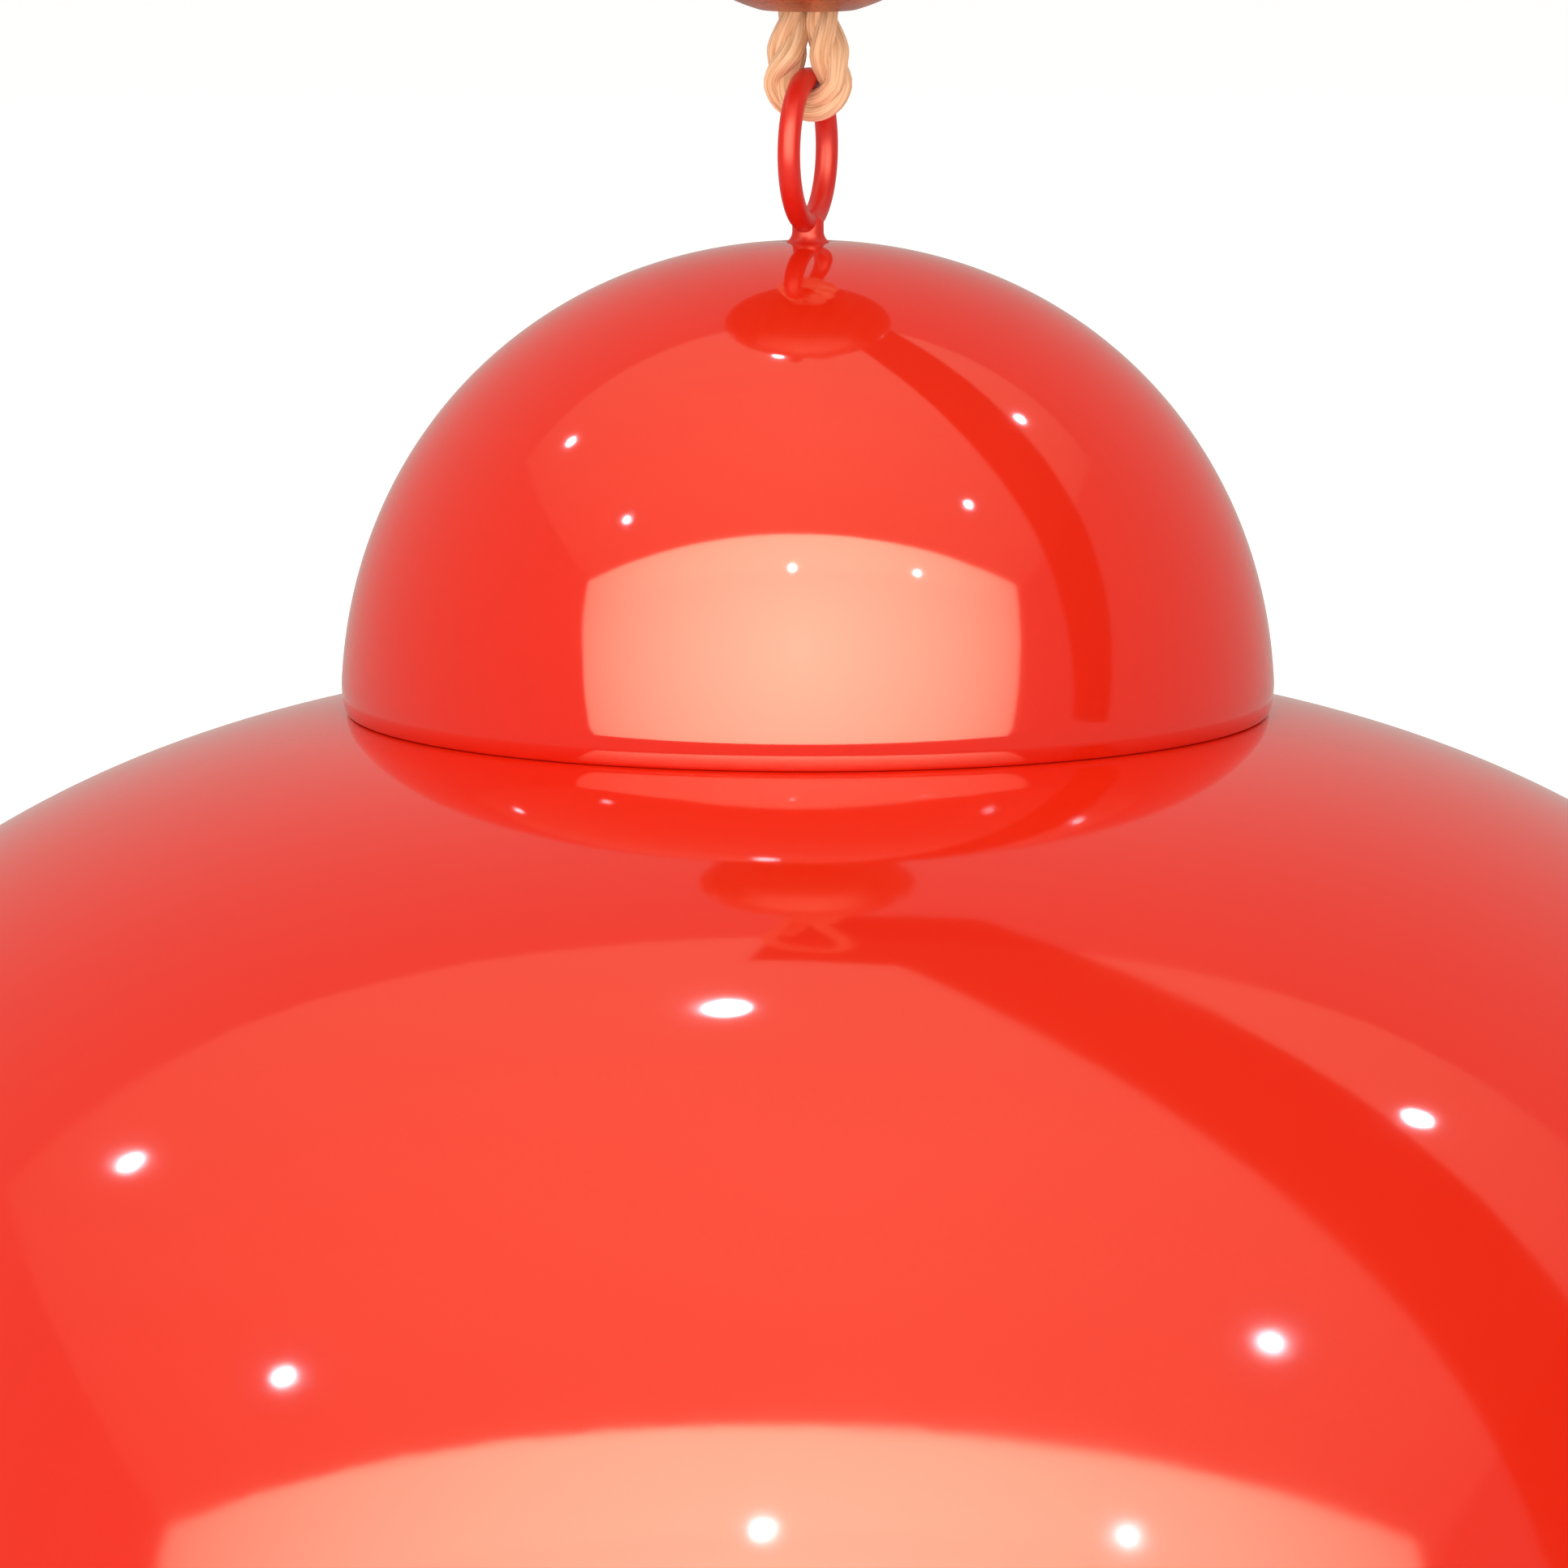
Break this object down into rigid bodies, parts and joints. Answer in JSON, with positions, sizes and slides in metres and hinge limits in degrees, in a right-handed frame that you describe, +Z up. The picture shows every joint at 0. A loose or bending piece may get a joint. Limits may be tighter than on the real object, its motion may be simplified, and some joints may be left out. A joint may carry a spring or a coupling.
{
  "type": "christmas bell ornament",
  "caption": "Large hanging Christmas bell of glossy red steel with a round cap, eye bolt, twisted rope, wooden bead and a swinging wooden clapper.",
  "frame": {"origin": "the point where a hook bears on the inside of the rope's hanging loop", "axes": "+Z up along the bell's axis, the eye bolt's ring lies in the YZ plane and the rope's loop and bight in the XZ plane"},
  "size_m": [0.356, 0.356, 0.4391],
  "materials": {
    "red_enamel": "high gloss enamel",
    "jute_rope": "twisted natural fibre",
    "stained_wood": "stained and satin varnished",
    "zinc_steel": "zinc plated"
  },
  "bodies": {
    "hanger": {"hanging_loop": "jute_rope", "rope_knot": "jute_rope", "rope_tail_left": "jute_rope", "rope_tail_right": "jute_rope"},
    "rope_legs": {"rope_leg_left": "jute_rope", "rope_leg_right": "jute_rope"},
    "bead": {"wooden_bead": "stained_wood"},
    "bight": {"eye_bight": "jute_rope"},
    "bell": {"eye_bolt": "red_enamel", "cap_dome": "red_enamel", "bell_shell": "red_enamel", "cap_washer": "zinc_steel", "cap_nut": "zinc_steel", "crown_washer": "zinc_steel", "crown_nut": "zinc_steel", "lock_nut": "zinc_steel", "eye_nut": "zinc_steel"},
    "link": {"link_ring": "zinc_steel"},
    "clapper": {"clapper_rod": "zinc_steel", "ball_upper_nut": "zinc_steel", "ball_upper_washer": "zinc_steel", "clapper_ball": "stained_wood", "ball_lower_washer": "zinc_steel", "acorn_nut": "zinc_steel"}
  },
  "joints": [
    {"name": "bell_turn", "type": "hinge", "parent": "hanger", "child": "rope_legs", "pos_m": [0, 0, -0.0603], "axis": [0, 0, 1], "range_deg": [-180, 180]},
    {"name": "bead_slide", "type": "slide", "parent": "rope_legs", "child": "bead", "axis": [0, 0, 1], "range_m": [0, 0.006]},
    {"name": "rope_sway", "type": "hinge", "parent": "rope_legs", "child": "bight", "pos_m": [0, 0, -0.10941], "axis": [0, 1, 0], "range_deg": [-20, 20]},
    {"name": "eye_swing", "type": "hinge", "parent": "bight", "child": "bell", "pos_m": [0, 0, -0.118], "axis": [1, 0, 0], "range_deg": [-40, 40]},
    {"name": "link_swing", "type": "hinge", "parent": "bell", "child": "link", "pos_m": [0, 0, -0.214], "axis": [1, 0, 0], "range_deg": [-36, 36]},
    {"name": "clapper_swing", "type": "hinge", "parent": "link", "child": "clapper", "pos_m": [0, 0, -0.2287], "axis": [0, 1, 0], "range_deg": [-36, 36]}
  ]
}
